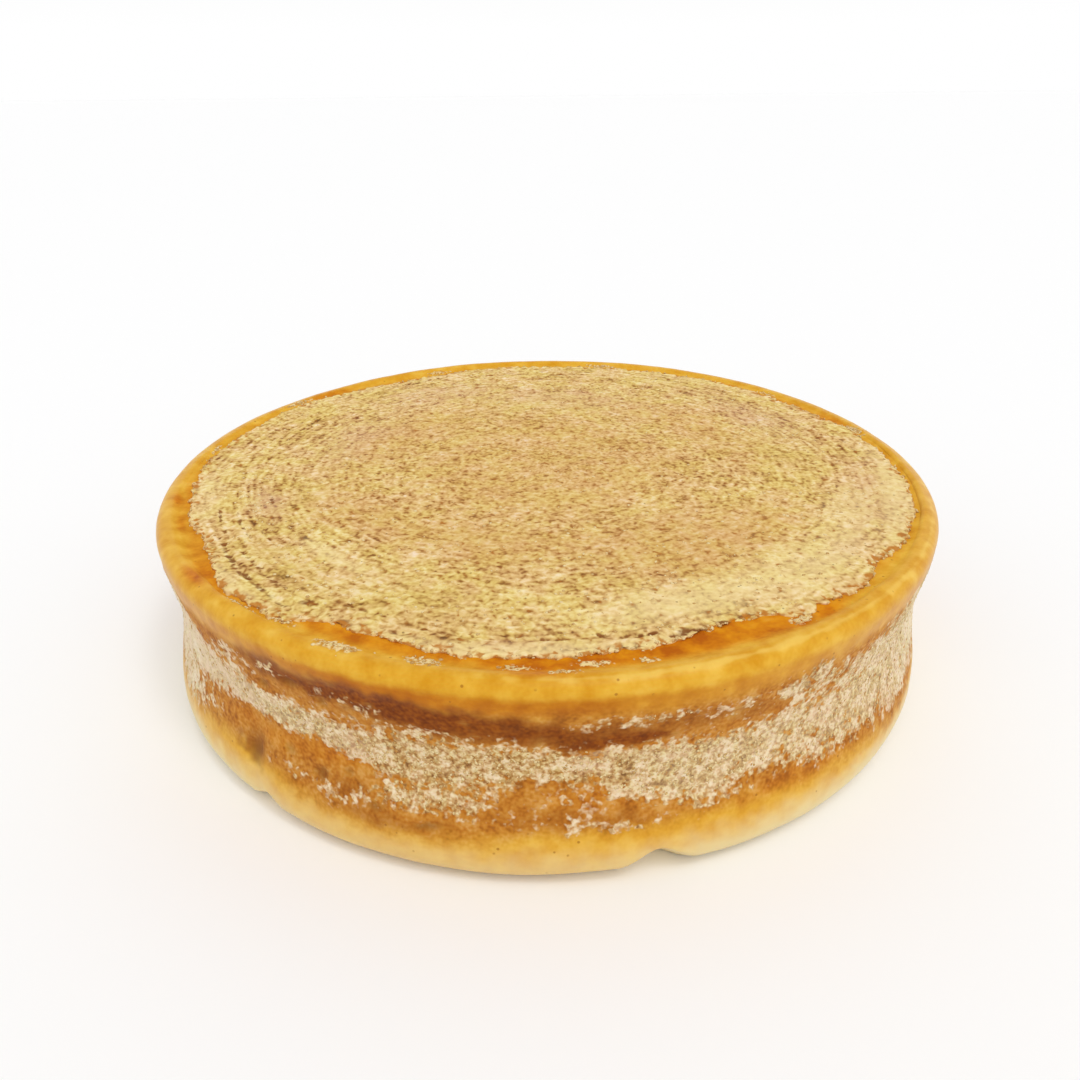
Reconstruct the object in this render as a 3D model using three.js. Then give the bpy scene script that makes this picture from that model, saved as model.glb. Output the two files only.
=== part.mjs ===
// A whole wheel of bitto, an aged mountain cheese, as one solid.
// It is a low round with a flat face to rest on, a heel that is hollowed between a top lip and a foot lip,
// and a dry crust on top that stops short of the rim in a ragged step, with a smooth waxy band outside it.
// Units are millimetres. +Z is up, the origin is the middle of the flat underside, and -Y is the front.
import * as THREE from "three";

// Driving dimensions: radius and height of each ring that the outline passes through.
const FLAT_RADIUS = 187; // flat face of the underside, at height 0
const FOOT_RADIUS = 203; // foot lip, the widest ring of all
const FOOT_HEIGHT = 11;
const WAIST_RADIUS = 195.6; // deepest ring of the hollow heel
const WAIST_HEIGHT = 56;
const LIP_RADIUS = 200.4; // top lip
const LIP_HEIGHT = 91;
const CREST_RADIUS = 194.5; // crest of the rim, just inside the top lip
const CREST_HEIGHT = 97;
const VALLEY_RADIUS = 188; // bottom of the waxy band, between the rim and the crust
const VALLEY_HEIGHT = 95.3;
const CRUST_RADIUS = 183.5; // mean edge of the dry crust, where its step begins
const CRUST_HEIGHT = 96.5;
const CRUST_STEP = 1.4; // width of the step

// How far each curve of the outline runs straight on from a ring, as a share of its own width or height.
const ROUND = 0.62; // a full rounding, as at the foot and the rim
const EVEN = 0.5; // an even slope, as from the rim down to the band
const LONG = 0.4; // a slow bend, as into the hollow
const SHORT = 0.2; // a quick bend, as out of a lip

// Fineness of the mesh: steps round the wheel, and steps along each stretch of the outline.
const AZIMUTH_STEPS = 200;
const STEPS = { flat: 2, foot: 5, lowerHeel: 5, upperHeel: 4, rim: 4, band: 2, valley: 1, step: 1, crust: 4 };

// Slow waves round the wheel, each term as [waves in one turn, size in mm, phase in radians].
const LIP_WAVES = [[3, 0.3, 0.6], [5, 0.25, 2.1], [8, 0.2, 4.0]];
const FOOT_WAVES = [[2, 0.3, 1.9], [5, 0.3, 0.4], [7, 0.2, 3.3]];
const WAIST_WAVES = [[3, 0.6, 4.4], [4, 0.5, 1.2], [9, 0.25, 2.7]];
const CREST_WAVES = [[2, 0.3, 0.9], [3, 0.2, 5.1], [7, 0.15, 2.4]];
const CRUST_EDGE_WAVES = [[13, 0.4, 3.9], [31, 0.5, 1.1]];

// Long low swells across the top, each as [wavelength in mm, direction in degrees, size in mm, phase].
const TOP_SWELLS = [[170, 20, 0.35, 0.4], [120, 95, 0.3, 2.0], [74, 150, 0.2, 4.1], [58, 60, 0.15, 1.3]];

// The crust's edge, as [azimuth, radius]: its bays and tongues round the wheel.
// Azimuths are degrees from the front, towards +X.
const CRUST_EDGE = [
  [-180, 185], [-150, 183], [-120, 187], [-92, 188], [-75, 185.5], [-61, 181.5], [-44, 190], [-35, 188.5],
  [-29, 180.5], [-10, 183], [2, 182], [15, 178.5], [23, 174.5], [28, 177], [32, 186], [36, 184],
  [44, 187.5], [51, 183], [58, 188], [75, 189.5], [96, 188], [125, 184], [150, 187], [180, 185],
];

// Where pieces of the foot lip have broken or pressed away, and how far the lip reaches elsewhere.
// The reach is measured on the diagonal that points out and down.
// Before and after are the widths of a chip's two sides, in degrees.
const CHIPS = [
  { azimuth: 12, before: 4.6, after: 4.8, depth: 5.6 },
  { azimuth: 8, before: 13, after: 15, depth: 1.2 },
  { azimuth: -37, before: 4, after: 3, depth: 4.2 },
  { azimuth: 128, before: 5, after: 3, depth: 3.0 },
  { azimuth: -141, before: 4, after: 6, depth: 3.6 },
];
const FOOT_REACH = 138.6;

// Soft dents and bumps pressed into the heel while the wheel was young, each at an azimuth and a height.
const HEEL_MARKS = [
  { azimuth: -39.5, height: 31, halfWidth: 8, halfHeight: 19, depth: 2.0 },
  { azimuth: -30, height: 28, halfWidth: 11, halfHeight: 12, depth: 1.1 },
  { azimuth: -17, height: 24, halfWidth: 22, halfHeight: 8, depth: -1.0 },
  { azimuth: -52, height: 40, halfWidth: 14, halfHeight: 16, depth: -0.9 },
  { azimuth: 17, height: 40, halfWidth: 12, halfHeight: 8, depth: 0.9 },
  { azimuth: 46, height: 26, halfWidth: 30, halfHeight: 12, depth: -1.0 },
  { azimuth: 84, height: 48, halfWidth: 18, halfHeight: 15, depth: 1.2 },
  { azimuth: 118, height: 30, halfWidth: 24, halfHeight: 12, depth: -1.1 },
  { azimuth: 160, height: 44, halfWidth: 12, halfHeight: 20, depth: 1.4 },
  { azimuth: -100, height: 36, halfWidth: 20, halfHeight: 14, depth: 1.2 },
  { azimuth: -128, height: 52, halfWidth: 26, halfHeight: 12, depth: -0.9 },
  { azimuth: -165, height: 30, halfWidth: 16, halfHeight: 10, depth: 1.0 },
];

// Widths over which one form fades into the next.
const EDGE_FADE = 8; // from the flat underside and the flat top to the rounded edge
const MARK_FADE = 14; // from the marked heel to each lip

const radians = THREE.MathUtils.degToRad;
const smooth = THREE.MathUtils.smoothstep;

// Sum of slow waves at an azimuth.
function waves(terms, azimuth) {
  return terms.reduce((sum, [count, size, phase]) => sum + size * Math.sin(count * azimuth + phase), 0);
}

// Signed angle from a named azimuth to another, by the short way round, in degrees.
function degreesPast(centre, azimuth) {
  const away = azimuth - radians(centre);
  return THREE.MathUtils.radToDeg(Math.atan2(Math.sin(away), Math.cos(away)));
}

// Radius of the crust's edge at an azimuth: a smooth way from each listed place to the next.
function crustEdge(azimuth) {
  const here = degreesPast(0, azimuth);
  const next = Math.max(1, CRUST_EDGE.findIndex(([place]) => place >= here));
  const [fromPlace, fromRadius] = CRUST_EDGE[next - 1];
  const [toPlace, toRadius] = CRUST_EDGE[next];
  const edge = THREE.MathUtils.lerp(fromRadius, toRadius, smooth(here, fromPlace, toPlace));
  return edge + waves(CRUST_EDGE_WAVES, azimuth);
}

// Depth of all the chips at an azimuth: each is 0 at its two ends, and deepest at its own azimuth.
function chipDepth(azimuth) {
  return CHIPS.reduce((sum, chip) => {
    const away = degreesPast(chip.azimuth, azimuth);
    const width = away < 0 ? chip.before : chip.after;
    return sum + chip.depth * (1 - smooth(Math.abs(away), 0, width));
  }, 0);
}

// How far the heel is pressed in at an azimuth and a height.
function heelDent(azimuth, z) {
  return HEEL_MARKS.reduce((sum, mark) => {
    const across = (radians(degreesPast(mark.azimuth, azimuth)) * WAIST_RADIUS) / mark.halfWidth;
    const up = (z - mark.height) / mark.halfHeight;
    return sum + mark.depth * Math.exp(-(across * across) - up * up);
  }, 0);
}

// Rise of the top at a place on it.
function topSwell(x, y) {
  return TOP_SWELLS.reduce((sum, [length, direction, size, phase]) => {
    const along = x * Math.cos(radians(direction)) + y * Math.sin(radians(direction));
    return sum + size * Math.sin((2 * Math.PI * along) / length + phase);
  }, 0);
}

// A curve from one ring to another. At each end it first runs straight, across or up, by a share of the way.
function bend(from, to, leave, arrive) {
  const across = to.x - from.x;
  const up = to.y - from.y;
  return new THREE.CubicBezierCurve(
    from,
    new THREE.Vector2(from.x + leave.across * across, from.y + leave.up * up),
    new THREE.Vector2(to.x - arrive.across * across, to.y - arrive.up * up),
    to,
  );
}

// Half of the wheel's cross-section, from the axis at the floor, round the heel, to the axis at the top.
function outline() {
  const ring = (radius, height) => new THREE.Vector2(radius, height);
  const level = (share) => ({ across: share, up: 0 });
  const steep = (share) => ({ across: 0, up: share });
  const flat = ring(FLAT_RADIUS, 0);
  const foot = ring(FOOT_RADIUS, FOOT_HEIGHT);
  const waist = ring(WAIST_RADIUS, WAIST_HEIGHT);
  const lip = ring(LIP_RADIUS, LIP_HEIGHT);
  const crest = ring(CREST_RADIUS, CREST_HEIGHT);
  const valley = ring(VALLEY_RADIUS, VALLEY_HEIGHT);
  const stepFoot = ring(CRUST_RADIUS, VALLEY_HEIGHT);
  const stepTop = ring(CRUST_RADIUS - CRUST_STEP, CRUST_HEIGHT);
  const middle = ring(0, CRUST_HEIGHT);
  const stretches = [
    [new THREE.LineCurve(ring(0, 0), flat), STEPS.flat],
    [bend(flat, foot, level(ROUND), steep(ROUND)), STEPS.foot],
    [bend(foot, waist, steep(SHORT), steep(LONG)), STEPS.lowerHeel],
    [bend(waist, lip, steep(LONG), steep(SHORT)), STEPS.upperHeel],
    [bend(lip, crest, steep(ROUND), level(ROUND)), STEPS.rim],
    [bend(crest, valley, level(EVEN), level(EVEN)), STEPS.band],
    [new THREE.LineCurve(valley, stepFoot), STEPS.valley],
    [new THREE.LineCurve(stepFoot, stepTop), STEPS.step],
    [new THREE.LineCurve(stepTop, middle), STEPS.crust],
  ];
  // Each stretch leaves its last point to the next one.
  const points = stretches.flatMap(([curve, steps]) => curve.getPoints(steps).slice(0, -1));
  return [...points, middle];
}

// Moves one point of the plain turned shape to where the real, uneven wheel has it.
function shaped(x, y, z) {
  const azimuth = Math.atan2(x, -y);
  let radius = Math.hypot(x, y);
  const onTop = z > WAIST_HEIGHT && radius < CREST_RADIUS;

  if (onTop) {
    // The crust's edge wanders: points near it slide in and out with it.
    const slide = crustEdge(azimuth) - CRUST_RADIUS;
    const inside = smooth(radius, CRUST_RADIUS / 2, CRUST_RADIUS - CRUST_STEP);
    radius += slide * inside * (1 - smooth(radius, CRUST_RADIUS, CREST_RADIUS));
  }

  // The lips and the waist wander in and out, each over its own height, and the heel has its dents.
  const lipShare = smooth(z, WAIST_HEIGHT, LIP_HEIGHT);
  const footShare = 1 - smooth(z, FOOT_HEIGHT, WAIST_HEIGHT);
  const outside = smooth(radius, FLAT_RADIUS, FLAT_RADIUS + EDGE_FADE);
  const marked = smooth(z, 0, MARK_FADE) * (1 - smooth(z, LIP_HEIGHT - MARK_FADE, LIP_HEIGHT));
  radius += outside * (lipShare * waves(LIP_WAVES, azimuth)
    + footShare * waves(FOOT_WAVES, azimuth)
    + (1 - lipShare) * (1 - footShare) * waves(WAIST_WAVES, azimuth)
    - marked * heelDent(azimuth, z));

  // The rim's crest and the top rise and fall.
  const crestShare = smooth(z, LIP_HEIGHT - MARK_FADE, CREST_HEIGHT) * outside;
  const topShare = onTop ? 1 - outside : 0;
  z += crestShare * waves(CREST_WAVES, azimuth) + topShare * topSwell(x, y);

  // A chip cuts the foot lip back along the diagonal that points out and down.
  const reach = FOOT_REACH - chipDepth(azimuth);
  const over = z < WAIST_HEIGHT ? (radius - z) / Math.SQRT2 - reach : 0;
  if (over > 0) {
    radius -= over / Math.SQRT2;
    z += over / Math.SQRT2;
  }
  return [radius * Math.sin(azimuth), -radius * Math.cos(azimuth), z];
}

// The wheel: the outline is turned about Z, and each point is then moved to its place on the uneven wheel.
function wheelGeometry() {
  const geometry = new THREE.LatheGeometry(outline(), AZIMUTH_STEPS).rotateX(Math.PI / 2);
  const position = geometry.getAttribute("position");
  for (let i = 0; i < position.count; i += 1) {
    position.setXYZ(i, ...shaped(position.getX(i), position.getY(i), position.getZ(i)));
  }
  geometry.computeVertexNormals();
  return geometry;
}

const rind = new THREE.MeshStandardMaterial({ color: 0xc99a4c, roughness: 0.7, metalness: 0 });
const wheel = new THREE.Mesh(wheelGeometry(), rind);
wheel.name = "wheel";

const cheese = new THREE.Group();
cheese.name = "bitto_cheese";
cheese.add(wheel);

export default cheese;
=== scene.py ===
# %% [markdown]
# A whole wheel of bitto, an aged mountain cheese: a low round with a hollow heel between two waxy lips, and
# a dry, speckled crust on its flat top. Its exact solid is made elsewhere and is loaded here as a fixed
# frame. Blender's part is the look. The rind is modelled again, finely enough to show its ripples, chips and
# crumbs, and it gets finishes that are painted by rules instead of pictures.

# %% Load the frame
import math

import bpy
import numpy as np
from mathutils import Matrix, noise


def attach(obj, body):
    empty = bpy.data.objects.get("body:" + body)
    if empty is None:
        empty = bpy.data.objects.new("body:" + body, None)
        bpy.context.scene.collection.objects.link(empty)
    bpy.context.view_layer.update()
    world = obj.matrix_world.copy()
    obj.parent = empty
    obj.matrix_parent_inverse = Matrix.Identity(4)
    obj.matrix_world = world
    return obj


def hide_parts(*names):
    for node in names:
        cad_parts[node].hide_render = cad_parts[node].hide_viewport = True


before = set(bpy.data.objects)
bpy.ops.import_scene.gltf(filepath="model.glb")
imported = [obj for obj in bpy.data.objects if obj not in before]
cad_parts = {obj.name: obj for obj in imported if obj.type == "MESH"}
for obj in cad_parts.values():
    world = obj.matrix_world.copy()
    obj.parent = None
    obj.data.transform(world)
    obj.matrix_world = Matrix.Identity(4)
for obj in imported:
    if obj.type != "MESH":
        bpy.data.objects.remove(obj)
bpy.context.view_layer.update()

# %% [markdown]
# The wheel's outline is named by a few rings, each with a radius and a height in millimetres. They are the
# rings that the solid was turned from, so what is built on them lies on the solid. Blender itself works in
# metres, so lengths are multiplied by MM when they reach a mesh.

# %% Rings of the outline
MM = 0.001
FLAT = (187.0, 0.0)
FOOT = (203.0, 11.0)
WAIST = (195.6, 56.0)
LIP = (200.4, 91.0)
CREST = (194.5, 97.0)
VALLEY = (188.0, 95.3)
CRUST_RADIUS = 183.5
CRUST_HEIGHT = 96.5
CRUST_STEP = 1.4

# %% [markdown]
# A real wheel is never quite round. Slow waves make its lips and waist wander, soft dents mark the heel,
# bites are missing from the foot lip, and the crust's edge has bays and tongues. These lists repeat the
# solid's own, so the fine surface follows it. Azimuths are degrees from the front, counted towards +X.

# %% Unevenness that the solid has too
LIP_WAVES = [(3, 0.3, 0.6), (5, 0.25, 2.1), (8, 0.2, 4.0)]
FOOT_WAVES = [(2, 0.3, 1.9), (5, 0.3, 0.4), (7, 0.2, 3.3)]
WAIST_WAVES = [(3, 0.6, 4.4), (4, 0.5, 1.2), (9, 0.25, 2.7)]
CREST_WAVES = [(2, 0.3, 0.9), (3, 0.2, 5.1), (7, 0.15, 2.4)]
CRUST_EDGE_WAVES = [(13, 0.4, 3.9), (31, 0.5, 1.1)]
TOP_SWELLS = [(170, 20, 0.35, 0.4), (120, 95, 0.3, 2.0), (74, 150, 0.2, 4.1), (58, 60, 0.15, 1.3)]
CRUST_EDGE = [
    (-180, 185), (-150, 183), (-120, 187), (-92, 188), (-75, 185.5), (-61, 181.5), (-44, 190), (-35, 188.5),
    (-29, 180.5), (-10, 183), (2, 182), (15, 178.5), (23, 174.5), (28, 177), (32, 186), (36, 184),
    (44, 187.5), (51, 183), (58, 188), (75, 189.5), (96, 188), (125, 184), (150, 187), (180, 185),
]
CHIPS = [(12, 4.6, 4.8, 5.6), (8, 13, 15, 1.2), (-37, 4, 3, 4.2), (128, 5, 3, 3.0), (-141, 4, 6, 3.6)]
FOOT_REACH = 138.6
HEEL_MARKS = [
    (-39.5, 31, 8, 19, 2), (-30, 28, 11, 12, 1.1), (-17, 24, 22, 8, -1), (-52, 40, 14, 16, -0.9),
    (17, 40, 12, 8, 0.9), (46, 26, 30, 12, -1), (84, 48, 18, 15, 1.2), (118, 30, 24, 12, -1.1),
    (160, 44, 12, 20, 1.4), (-100, 36, 20, 14, 1.2), (-128, 52, 26, 12, -0.9), (-165, 30, 16, 10, 1),
]
EDGE_FADE = 8.0
MARK_FADE = 14.0


def smooth(value, low, high):
    """0 below low, 1 above high, and an even S between them."""
    share = np.clip((value - low) / (high - low), 0.0, 1.0)
    return share * share * (3.0 - 2.0 * share)


def waves(terms, azimuth):
    """Sum of waves round the wheel at azimuths in degrees."""
    turn = np.radians(azimuth)
    return sum(size * np.sin(count * turn + phase) for count, size, phase in terms)


def degrees_past(centre, azimuth):
    """Signed way from one azimuth to others, the short way round."""
    return (azimuth - centre + 180.0) % 360.0 - 180.0


def along(places, azimuth):
    """A value that goes smoothly from each listed (azimuth, value) to the next."""
    spots = np.array([place for place, _ in places], dtype=float)
    values = np.array([value for _, value in places], dtype=float)
    after = np.clip(np.searchsorted(spots, azimuth), 1, len(spots) - 1)
    share = smooth(azimuth, spots[after - 1], spots[after])
    return values[after - 1] + share * (values[after] - values[after - 1])


def crust_edge(azimuth):
    """Radius of the crust's edge."""
    return along(CRUST_EDGE, azimuth) + waves(CRUST_EDGE_WAVES, azimuth)


def chip_depth(azimuth):
    """How far the foot lip is broken back."""
    total = np.zeros_like(azimuth)
    for centre, before, after, depth in CHIPS:
        away = degrees_past(centre, azimuth)
        total += depth * (1.0 - smooth(np.abs(away), 0.0, np.where(away < 0, before, after)))
    return total


def heel_dent(azimuth, height):
    """How far the heel is pressed in."""
    total = np.zeros_like(azimuth)
    for centre, level, half_width, half_height, depth in HEEL_MARKS:
        across = np.radians(degrees_past(centre, azimuth)) * WAIST[0] / half_width
        up = (height - level) / half_height
        total += depth * np.exp(-across**2 - up**2)
    return total


def top_swell(x, y):
    """Rise and fall of the flat top."""
    total = np.zeros_like(x)
    for length, direction, size, phase in TOP_SWELLS:
        run = x * math.cos(math.radians(direction)) + y * math.sin(math.radians(direction))
        total += size * np.sin(2.0 * math.pi * run / length + phase)
    return total


# %% [markdown]
# One function moves points of the plain turned shape, given in millimetres, to where the uneven wheel has
# them. It takes the same steps in the same order as the solid does, so the two surfaces agree to a fraction
# of a millimetre. Working on whole arrays with NumPy keeps it quick for a hundred thousand points.

# %% From the turned shape to the uneven wheel
def cylinder(points):
    """Azimuth in degrees, radius and height of points."""
    azimuth = np.degrees(np.arctan2(points[:, 0], -points[:, 1]))
    return azimuth, np.hypot(points[:, 0], points[:, 1]), points[:, 2].copy()


def from_cylinder(azimuth, radius, height):
    """Points at azimuths in degrees, radii and heights."""
    turn = np.radians(azimuth)
    return np.stack([radius * np.sin(turn), -radius * np.cos(turn), height], axis=1)


def uneven(points):
    """Points of the plain turned wheel, moved to the real wheel's surface."""
    azimuth, radius, height = cylinder(points)
    on_top = (height > WAIST[1]) & (radius < CREST[0])
    inside = smooth(radius, CRUST_RADIUS / 2, CRUST_RADIUS - CRUST_STEP)
    slide = (crust_edge(azimuth) - CRUST_RADIUS) * inside * (1.0 - smooth(radius, CRUST_RADIUS, CREST[0]))
    radius = radius + np.where(on_top, slide, 0.0)
    lip_share = smooth(height, WAIST[1], LIP[1])
    foot_share = 1.0 - smooth(height, FOOT[1], WAIST[1])
    outside = smooth(radius, FLAT[0], FLAT[0] + EDGE_FADE)
    marked = smooth(height, 0.0, MARK_FADE) * (1.0 - smooth(height, LIP[1] - MARK_FADE, LIP[1]))
    radius = radius + outside * (
        lip_share * waves(LIP_WAVES, azimuth)
        + foot_share * waves(FOOT_WAVES, azimuth)
        + (1.0 - lip_share) * (1.0 - foot_share) * waves(WAIST_WAVES, azimuth)
        - marked * heel_dent(azimuth, height)
    )
    crest_share = smooth(height, LIP[1] - MARK_FADE, CREST[1]) * outside
    top_share = np.where(on_top, 1.0 - outside, 0.0)
    rise = crest_share * waves(CREST_WAVES, azimuth) + top_share * top_swell(points[:, 0], points[:, 1])
    past_chip = (radius - height - rise) / math.sqrt(2) - (FOOT_REACH - chip_depth(azimuth))
    cut = np.where(height < WAIST[1], np.clip(past_chip, 0.0, None), 0.0) / math.sqrt(2)
    return from_cylinder(azimuth, radius - cut, height + rise + cut)


# %% [markdown]
# The body is modelled the way a potter throws a plate: a circle is extruded, and each new ring is scaled to
# the radius that the outline has there. A spun profile would do too, but ring by ring there is no seam to
# merge. The rings are closest on the upper lip and the waxy band, and far apart underneath.

# %% Extrude a round ring by ring
def straight(start, end, spacing):
    """Rings from one to another in a straight line, without the first."""
    start, end = np.array(start, dtype=float), np.array(end, dtype=float)
    steps = max(1, round(float(np.linalg.norm(end - start)) / spacing))
    share = np.linspace(0.0, 1.0, steps + 1)[1:, None]
    return list(start + share * (end - start))


def bend(start, end, leave, arrive, spacing):
    """Rings along a curve that leaves and arrives by the given shares, across and up."""
    start, end = np.array(start, dtype=float), np.array(end, dtype=float)
    first = start + np.array(leave) * (end - start)
    second = end - np.array(arrive) * (end - start)
    steps = max(2, round(float(np.linalg.norm(end - start)) / spacing))
    share = np.linspace(0.0, 1.0, steps + 1)[1:, None]
    rest = 1.0 - share
    return list(rest**3 * start + 3 * rest**2 * share * first + 3 * rest * share**2 * second + share**3 * end)


def raise_rings(name, rings, count):
    """A tube of rings, made by extruding a circle, left in edit mode with its last ring selected."""
    bpy.ops.object.select_all(action="DESELECT")
    radius, height = rings[0]
    bpy.ops.mesh.primitive_circle_add(vertices=count, radius=radius * MM, fill_type="NOTHING")
    piece = bpy.context.object
    piece.name = name
    piece.data.name = name
    bpy.ops.object.mode_set(mode="EDIT")
    bpy.ops.mesh.select_mode(type="EDGE")
    bpy.ops.mesh.select_all(action="SELECT")
    bpy.ops.transform.translate(value=(0.0, 0.0, height * MM))
    for next_radius, next_height in rings[1:]:
        step = (0.0, 0.0, (next_height - height) * MM)
        bpy.ops.mesh.extrude_edges_move(TRANSFORM_OT_translate={"value": step})
        scale = next_radius / radius
        bpy.ops.transform.resize(value=(scale, scale, 1.0), center_override=(0.0, 0.0, 0.0))
        radius, height = next_radius, next_height
    return piece


def select_ring(piece, index, count):
    """Selects one ring of a tube in edit mode, counted in the order of extrusion."""
    bpy.ops.mesh.select_all(action="DESELECT")
    bpy.ops.object.mode_set(mode="OBJECT")
    mesh = piece.data
    chosen = np.zeros(len(mesh.vertices), dtype=bool)
    chosen[index * count:(index + 1) * count] = True
    mesh.vertices.foreach_set("select", chosen)
    ends = np.empty(len(mesh.edges) * 2, dtype=np.int32)
    mesh.edges.foreach_get("vertices", ends)
    mesh.edges.foreach_set("select", chosen[ends.reshape(-1, 2)].all(axis=1))
    bpy.ops.object.mode_set(mode="EDIT")


def read_vectors(items, key):
    """A vector of each vertex or face, as rows."""
    flat = np.empty(len(items) * 3, dtype=np.float32)
    items.foreach_get(key, flat)
    return flat.reshape(-1, 3)


def places_of(piece):
    """A piece's vertices in millimetres."""
    return read_vectors(piece.data.vertices, "co").astype(float) / MM


def put_places(piece, points):
    """Writes vertices given in millimetres back to a piece."""
    piece.data.vertices.foreach_set("co", (points * MM).astype(np.float32).ravel())
    piece.data.update()


def finish_mesh(piece):
    """Turns faces outwards, shades the piece smooth and leaves edit mode."""
    bpy.ops.mesh.select_all(action="SELECT")
    bpy.ops.mesh.normals_make_consistent(inside=False)
    bpy.ops.object.mode_set(mode="OBJECT")
    bpy.ops.object.shade_smooth()
    piece.data.calc_loop_triangles()
    print(piece.name, "has", len(piece.data.loop_triangles), "triangles")


# %% The body: underside, foot, heel, lip and waxy band
BODY_COUNT = 900
UNDER_RADIUS = 160.0
SEAT_EDGE = 179.0
SEAT_RADIUS = 176.0
SEAT_HEIGHT = 90.0
# How far a bend keeps the direction it starts or ends with, as shares of the way across or up.
ROUND = 0.62
EVEN = 0.5
LONG = 0.4
SHORT = 0.2

body_rings = [np.array([UNDER_RADIUS, 0.0])]
body_rings += straight((UNDER_RADIUS, 0.0), FLAT, spacing=5.4)
body_rings += bend(FLAT, FOOT, (ROUND, 0.0), (0.0, ROUND), spacing=1.3)
body_rings += bend(FOOT, WAIST, (0.0, SHORT), (0.0, LONG), spacing=1.35)
body_rings += bend(WAIST, LIP, (0.0, LONG), (0.0, SHORT), spacing=1.35)
body_rings += bend(LIP, CREST, (0.0, ROUND), (ROUND, 0.0), spacing=0.95)
body_rings += bend(CREST, VALLEY, (EVEN, 0.0), (EVEN, 0.0), spacing=0.95)
body_rings += straight(VALLEY, (CRUST_RADIUS, VALLEY[1]), spacing=1.1)
body_rings += straight((CRUST_RADIUS, VALLEY[1]), (SEAT_EDGE, VALLEY[1]), spacing=1.5)
body_rings += straight((SEAT_EDGE, VALLEY[1]), (SEAT_RADIUS, SEAT_HEIGHT), spacing=8.0)

body = raise_rings("rind_body", body_rings, BODY_COUNT)
bpy.ops.mesh.edge_face_add()
select_ring(body, 0, BODY_COUNT)
bpy.ops.mesh.edge_face_add()
finish_mesh(body)

# %% The crust: a thin slab, sunk into the body and a little proud of the band
CRUST_COUNT = 960
SLAB_BOTTOM = 87.5
SLAB_RADIUS = 170.0
GRID_RADIUS = 156.0
SLAB_CORNER = (CRUST_RADIUS - 2.0, SLAB_BOTTOM + 3.0)
WALL_FOOT = (CRUST_RADIUS, VALLEY[1] - 0.6)
WALL_TOP = (CRUST_RADIUS - CRUST_STEP, CRUST_HEIGHT)

crust_rings = [np.array([SLAB_RADIUS, SLAB_BOTTOM])]
crust_rings += straight((SLAB_RADIUS, SLAB_BOTTOM), SLAB_CORNER, spacing=30.0)
crust_rings += straight(SLAB_CORNER, WALL_FOOT, spacing=4.0)
crust_rings += bend(WALL_FOOT, WALL_TOP, (0.0, ROUND), (ROUND, 0.0), spacing=0.6)
crust_rings += straight(WALL_TOP, (GRID_RADIUS, CRUST_HEIGHT), spacing=0.95)

crust = raise_rings("top_crust", crust_rings, CRUST_COUNT)
bpy.ops.mesh.fill_grid(span=CRUST_COUNT // 4)
select_ring(crust, 0, CRUST_COUNT)
bpy.ops.mesh.edge_face_add()
finish_mesh(crust)

# %% [markdown]
# Both pieces are now moved to the uneven wheel. Then comes relief that is too fine for the solid. Perlin
# noise gives it: a smooth random field that is the same on every run. The height of 1 - |noise| makes thin
# curling ridges, which is how dried crumbs and powdery bloom look.

# %% Noise fields
def cloud(points, size, layer=0.0):
    """Noise from about -1 to 1 at points in millimetres, with lumps about as large as size.

    The size is one number or three. Another layer gives another field.
    """
    spots = points / np.array(size, dtype=float) + layer
    return np.array([noise.noise(spot) for spot in spots.tolist()])


def curls(points, size, layer):
    """Thin curling ridges from 0 to 1."""
    sharpness = 3.0
    return 1.0 - np.clip(np.abs(cloud(points, size, layer)) * sharpness, 0.0, 1.0)


def push_out(piece, amounts):
    """Moves the vertices of a piece along their normals by amounts in millimetres."""
    normals = read_vectors(piece.data.vertices, "normal")
    put_places(piece, places_of(piece) + normals * amounts[:, None])


def paint(piece, name, values):
    """Stores a number for each vertex of a piece."""
    layer = piece.data.attributes.new(name, "FLOAT", "POINT")
    layer.data.foreach_set("value", np.asarray(values, dtype=np.float32))
    print(f"{piece.name}: {name} is {float(np.mean(values)):.2f} on average")


# %% [markdown]
# Where each finish shows is stored on the mesh in named attributes, as a number for each vertex. All go from
# 0 to 1, but arcs go to either side of 0. They are painted by formula: soft patches at an azimuth and a
# height, with wandering edges. A material reads them and breaks them up with finer noise, so a patch ends in
# scattered flecks instead of a blurred line. Powder also lies a little proud of the rind, so the same
# numbers raise the surface. The chalk_and_sheen attribute says where the bloom is whitest: partly the
# powder's own colour, partly painted sheen, strongest on the sides that are seen at a grazing angle. Dull
# says where the rind is too dry to shine.

# %% Patches on the heel and on the band
def patches(places, azimuth, height):
    """Strength of soft patches from 0 to 1.

    Each patch has an azimuth, a height, a half width in degrees, a half height in millimetres and a strength.
    """
    clear = np.ones_like(azimuth)
    for centre, level, half_width, half_height, strength in places:
        across = degrees_past(centre, azimuth) / half_width
        up = (height - level) / half_height
        clear *= 1.0 - strength * np.exp(-((across**2 + up**2) ** 1.5))
    return 1.0 - clear


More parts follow.
